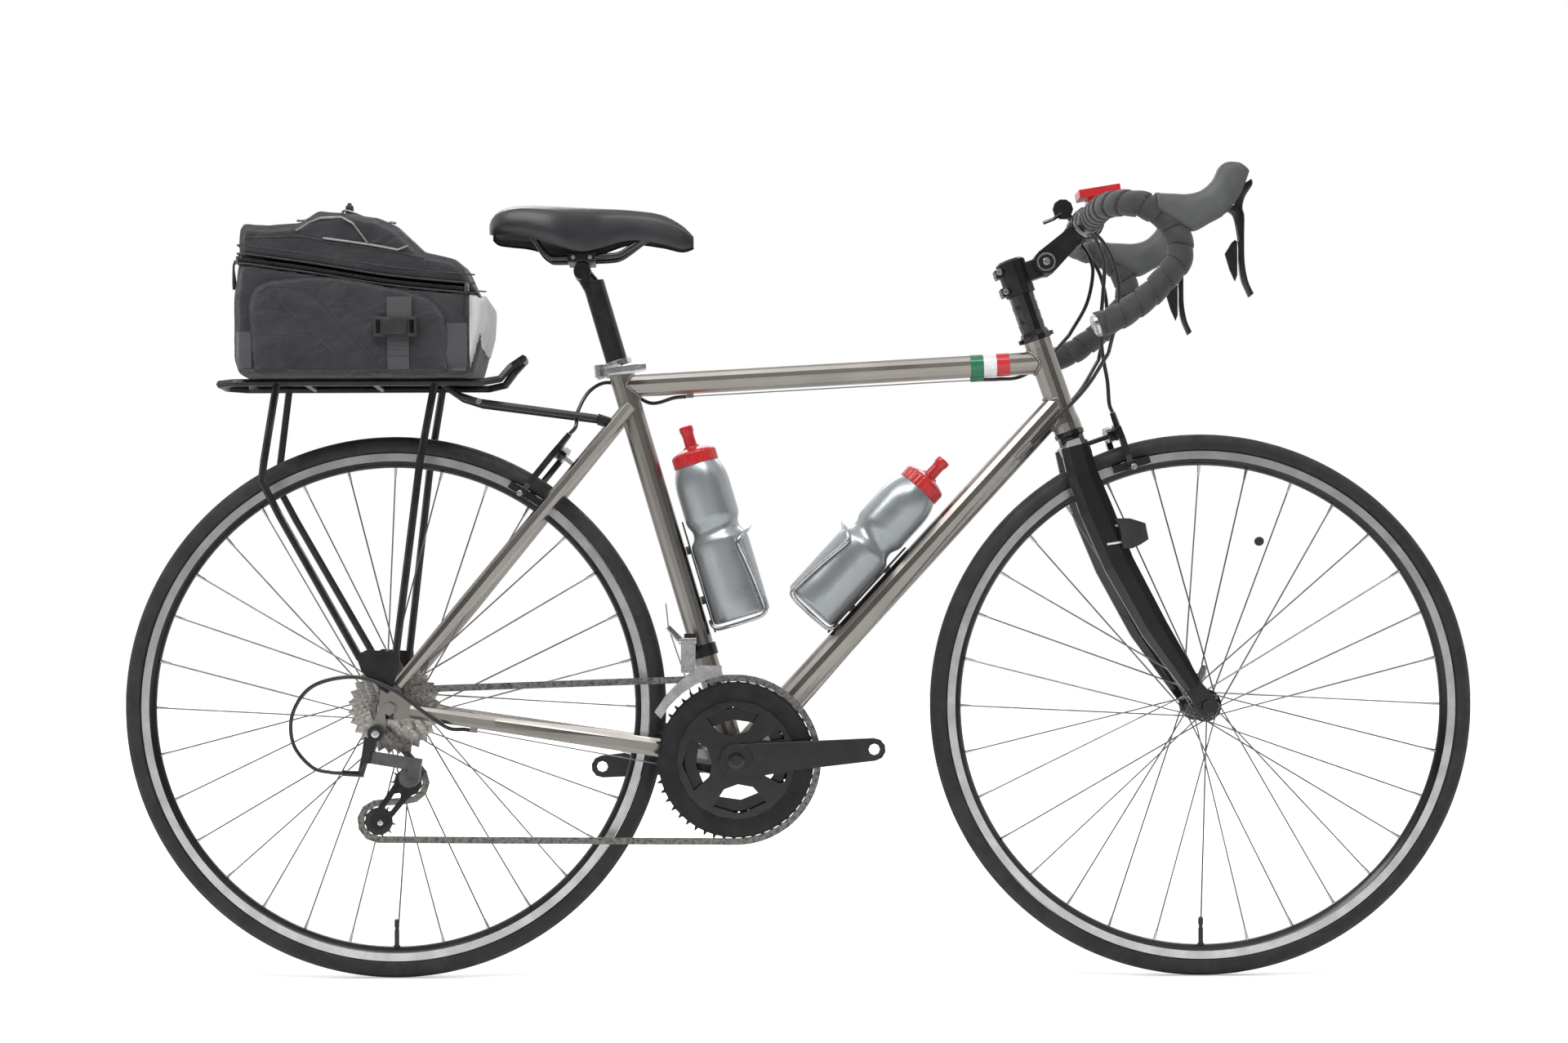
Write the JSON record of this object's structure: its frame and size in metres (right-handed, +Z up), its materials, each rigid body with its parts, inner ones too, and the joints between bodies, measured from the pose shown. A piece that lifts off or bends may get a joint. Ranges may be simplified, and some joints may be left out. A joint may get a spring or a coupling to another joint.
{
  "type": "gravel bicycle",
  "caption": "Drop-bar touring bicycle with a titanium frame, caliper brakes, double chainring, rear rack with a box bag, and bottles in wire cages.",
  "frame": {"origin": "on the ground, midway between the two hubs and in the frame's middle plane", "axes": "+X forward, +Y to the rider's left, +Z up; the chain side faces -Y"},
  "size_m": [1.684, 0.4468, 0.9888],
  "materials": {
    "bag_fabric": "charcoal woven nylon",
    "bar_tape": "dark grey wrapped tape",
    "black_metal": "black anodised",
    "black_paint": "gloss black",
    "bottle_plastic": "silver grey, translucent",
    "cable_housing": "black housing",
    "grey_plastic": "dark grey",
    "hood_rubber": "dark grey, moulded",
    "polished_metal": "polished",
    "red_plastic": "red",
    "saddle_cover": "black synthetic cover",
    "steel": "bare steel, lightly oiled",
    "titanium": "brushed bare titanium",
    "tyre_rubber": "black rubber"
  },
  "bodies": {
    "frame": {"head_tube": "titanium", "top_tube": "titanium", "down_tube": "titanium", "seat_tube": "titanium", "seatstays": "titanium", "chainstays": "titanium", "chain": "steel", "fd_body": "black_metal", "seat_collar": "polished_metal", "rack": "black_metal", "bag": "bag_fabric", "cage_1": "black_metal", "cage_2": "black_metal", "rear_brake_cable": "cable_housing", "rear_shift_cable": "cable_housing", "front_shift_cable": "cable_housing"},
    "steering": {"headset_spacers": "black_metal", "fork": "black_paint", "stem_base": "black_metal", "sensor": "grey_plastic", "front_brake_cable": "cable_housing"},
    "front_wheel": {"front_tyre": "tyre_rubber", "front_rim": "black_metal", "front_hub_spokes": "steel"},
    "rear_wheel": {"rear_tyre": "tyre_rubber", "rear_rim": "black_metal", "rear_hub_spokes": "steel"},
    "cassette_body": {"cassette": "steel"},
    "crankset": {"crank_right": "black_metal", "chainring": "black_metal", "crank_left": "black_metal"},
    "cockpit": {"stem_arm": "black_metal", "handlebar": "bar_tape", "hood_left": "hood_rubber", "hood_right": "hood_rubber", "bell": "black_metal", "computer": "red_plastic"},
    "lever_left": {"brake_lever_left": "black_metal"},
    "lever_right": {"brake_lever_right": "black_metal"},
    "paddle_left": {"shift_paddle_left": "black_metal"},
    "paddle_right": {"shift_paddle_right": "black_metal"},
    "front_arm_left": {"front_brake_arm_left": "black_metal"},
    "front_arm_right": {"front_brake_arm_right": "black_metal"},
    "rear_arm_left": {"rear_brake_arm_left": "black_metal"},
    "rear_arm_right": {"rear_brake_arm_right": "black_metal"},
    "post": {"seatpost": "black_metal"},
    "seat": {"saddle": "saddle_cover"},
    "front_quick_lever": {"front_qr_lever": "polished_metal"},
    "rear_quick_lever": {"rear_qr_lever": "polished_metal"},
    "seat_quick_lever": {"seat_qr_lever": "polished_metal"},
    "rd_upper": {"rd_b_knuckle": "black_metal"},
    "rd_parallelogram": {"rd_link": "grey_plastic"},
    "rd_lower": {"rd_p_knuckle": "grey_plastic"},
    "rd_arm": {"rd_cage": "black_metal"},
    "guide_wheel": {"guide_pulley": "grey_plastic"},
    "tension_wheel": {"tension_pulley": "grey_plastic"},
    "fd_swing": {"fd_cage": "black_metal"},
    "lid": {"bag_lid": "bag_fabric"},
    "flask_1": {"bottle_1": "bottle_plastic"},
    "flask_2": {"bottle_2": "bottle_plastic"}
  },
  "joints": [
    {"name": "steer", "type": "hinge", "parent": "frame", "child": "steering", "pos_m": [0.3401, 0, 0.68096], "axis": [-0.3256, 0, 0.9455], "range_deg": [-45, 45], "deforming": ["rear_brake_cable", "rear_shift_cable", "front_shift_cable"]},
    {"name": "front_spin", "type": "hinge", "parent": "steering", "child": "front_wheel", "pos_m": [0.5035, 0, 0.3385], "axis": [0, 1, 0], "continuous": true},
    {"name": "rear_spin", "type": "hinge", "parent": "frame", "child": "rear_wheel", "pos_m": [-0.5035, 0, 0.3385], "axis": [0, 1, 0], "continuous": true},
    {"name": "crank_spin", "type": "hinge", "parent": "frame", "child": "crankset", "pos_m": [-0.07844, 0, 0.2735], "axis": [0, 1, 0], "continuous": true, "deforming": ["chain"]},
    {"name": "cassette_spin", "type": "hinge", "parent": "frame", "child": "cassette_body", "pos_m": [-0.5035, 0, 0.3385], "axis": [0, 1, 0], "continuous": true, "deforming": ["chain"]},
    {"name": "stem_tilt", "type": "hinge", "parent": "steering", "child": "cockpit", "pos_m": [0.31051, 0, 0.8916], "axis": [0, 1, 0], "range_deg": [-24, 30], "deforming": ["rear_brake_cable", "rear_shift_cable", "front_shift_cable", "front_brake_cable"]},
    {"name": "post_slide", "type": "slide", "parent": "frame", "child": "post", "axis": [-0.284, 0, 0.9588], "range_m": [-0.04, 0.02]},
    {"name": "saddle_tilt", "type": "hinge", "parent": "post", "child": "seat", "pos_m": [-0.26798, 0, 0.88203], "axis": [0, 1, 0], "range_deg": [-8, 8]},
    {"name": "brake_lever_left", "type": "hinge", "parent": "cockpit", "child": "lever_left", "pos_m": [0.50522, 0.205, 0.93292], "axis": [0, 1, 0], "range_deg": [0, 20], "stiffness_Nm_per_rad": 0.5, "springref_deg": -17.19},
    {"name": "shift_paddle_left", "type": "hinge", "parent": "lever_left", "child": "paddle_left", "pos_m": [0.51082, 0.205, 0.87002], "axis": [0, 0, 1], "range_deg": [0, 18], "stiffness_Nm_per_rad": 0.05, "springref_deg": -17.19},
    {"name": "brake_lever_right", "type": "hinge", "parent": "cockpit", "child": "lever_right", "pos_m": [0.50522, -0.205, 0.93292], "axis": [0, 1, 0], "range_deg": [0, 20], "stiffness_Nm_per_rad": 0.5, "springref_deg": -17.19},
    {"name": "shift_paddle_right", "type": "hinge", "parent": "lever_right", "child": "paddle_right", "pos_m": [0.51082, -0.205, 0.87002], "axis": [0, 0, -1], "range_deg": [0, 18], "stiffness_Nm_per_rad": 0.05, "springref_deg": -17.19},
    {"name": "front_caliper_left", "type": "hinge", "parent": "steering", "child": "front_arm_left", "pos_m": [0.39221, 0, 0.67553], "axis": [-0.9455, 0, -0.3256], "range_deg": [0, 1.6], "deforming": ["front_brake_cable"]},
    {"name": "front_caliper_right", "type": "hinge", "parent": "steering", "child": "front_arm_right", "pos_m": [0.39221, 0, 0.67553], "axis": [0.9455, 0, 0.3256], "range_deg": [0, 1.6], "deforming": ["front_brake_cable"]},
    {"name": "rear_caliper_left", "type": "hinge", "parent": "frame", "child": "rear_arm_left", "pos_m": [-0.2943, 0, 0.65305], "axis": [-0.7732, 0, 0.6342], "range_deg": [0, 1.5], "deforming": ["rear_brake_cable"]},
    {"name": "rear_caliper_right", "type": "hinge", "parent": "frame", "child": "rear_arm_right", "pos_m": [-0.2943, 0, 0.65305], "axis": [0.7732, 0, -0.6342], "range_deg": [0, 1.5], "deforming": ["rear_brake_cable"]},
    {"name": "rd_mount", "type": "hinge", "parent": "frame", "child": "rd_upper", "pos_m": [-0.5193, 0, 0.3085], "axis": [0, 1, 0], "range_deg": [0, 18], "stiffness_Nm_per_rad": 1, "springref_deg": -22.92, "deforming": ["chain", "rear_shift_cable"]},
    {"name": "rd_link_swing", "type": "hinge", "parent": "rd_upper", "child": "rd_parallelogram", "pos_m": [-0.5225, -0.0795, 0.279], "axis": [0.14, 0, 0.9901], "range_deg": [0, 40], "stiffness_Nm_per_rad": 0.6, "springref_deg": -22.92, "deforming": ["chain", "rear_shift_cable"]},
    {"name": "rd_knuckle_turn", "type": "hinge", "parent": "rd_parallelogram", "child": "rd_lower", "pos_m": [-0.47784, -0.09592, 0.27268], "axis": [0.14, 0, 0.9901], "range_deg": [-40, 0], "deforming": ["chain", "rear_shift_cable"]},
    {"name": "rd_cage_swing", "type": "hinge", "parent": "rd_lower", "child": "rd_arm", "pos_m": [-0.4769, -0.0565, 0.2552], "axis": [0, 1, 0], "range_deg": [-20, 60], "stiffness_Nm_per_rad": 1, "deforming": ["chain"]},
    {"name": "guide_spin", "type": "hinge", "parent": "rd_arm", "child": "guide_wheel", "pos_m": [-0.48271, -0.0565, 0.24753], "axis": [0, 1, 0], "continuous": true, "deforming": ["chain"]},
    {"name": "tension_spin", "type": "hinge", "parent": "rd_arm", "child": "tension_wheel", "pos_m": [-0.51878, -0.0565, 0.19958], "axis": [0, 1, 0], "continuous": true, "deforming": ["chain"]},
    {"name": "fd_swing", "type": "hinge", "parent": "frame", "child": "fd_swing", "pos_m": [-0.14004, -0.05, 0.4205], "axis": [1, 0, 0], "range_deg": [0, 10], "deforming": ["chain", "front_shift_cable"]},
    {"name": "front_quick_release", "type": "hinge", "parent": "steering", "child": "front_quick_lever", "pos_m": [0.5035, 0.0714, 0.3385], "axis": [-0.9328, 0, 0.3603], "range_deg": [0, 165]},
    {"name": "rear_quick_release", "type": "hinge", "parent": "frame", "child": "rear_quick_lever", "pos_m": [-0.5035, 0.0864, 0.3385], "axis": [-0.2, 0, -0.9798], "range_deg": [0, 160]},
    {"name": "seat_quick_release", "type": "hinge", "parent": "frame", "child": "seat_quick_lever", "pos_m": [-0.24616, -0.0236, 0.75625], "axis": [0.0995, 0, -0.995], "range_deg": [0, 160]},
    {"name": "bag_lid_hinge", "type": "hinge", "parent": "frame", "child": "lid", "pos_m": [-0.397, 0, 0.8525], "axis": [0, 1, 0], "range_deg": [0, 45]},
    {"name": "bottle_1_slide", "type": "slide", "parent": "frame", "child": "flask_1", "axis": [-0.284, 0, 0.9588], "range_m": [0, 0.03]},
    {"name": "bottle_2_slide", "type": "slide", "parent": "frame", "child": "flask_2", "axis": [0.6766, 0, 0.7364], "range_m": [0, 0.07]}
  ],
  "couplings": [
    {"joint": "cassette_spin", "follows": "crank_spin", "ratio": 4.5455},
    {"joint": "guide_spin", "follows": "crank_spin", "ratio": -4.5455},
    {"joint": "tension_spin", "follows": "crank_spin", "ratio": 4.5455},
    {"joint": "rd_knuckle_turn", "follows": "rd_link_swing", "ratio": -1},
    {"joint": "front_caliper_left", "follows": "brake_lever_right", "ratio": 0.078},
    {"joint": "front_caliper_right", "follows": "brake_lever_right", "ratio": 0.078},
    {"joint": "rear_caliper_left", "follows": "brake_lever_left", "ratio": 0.069},
    {"joint": "rear_caliper_right", "follows": "brake_lever_left", "ratio": 0.069}
  ]
}
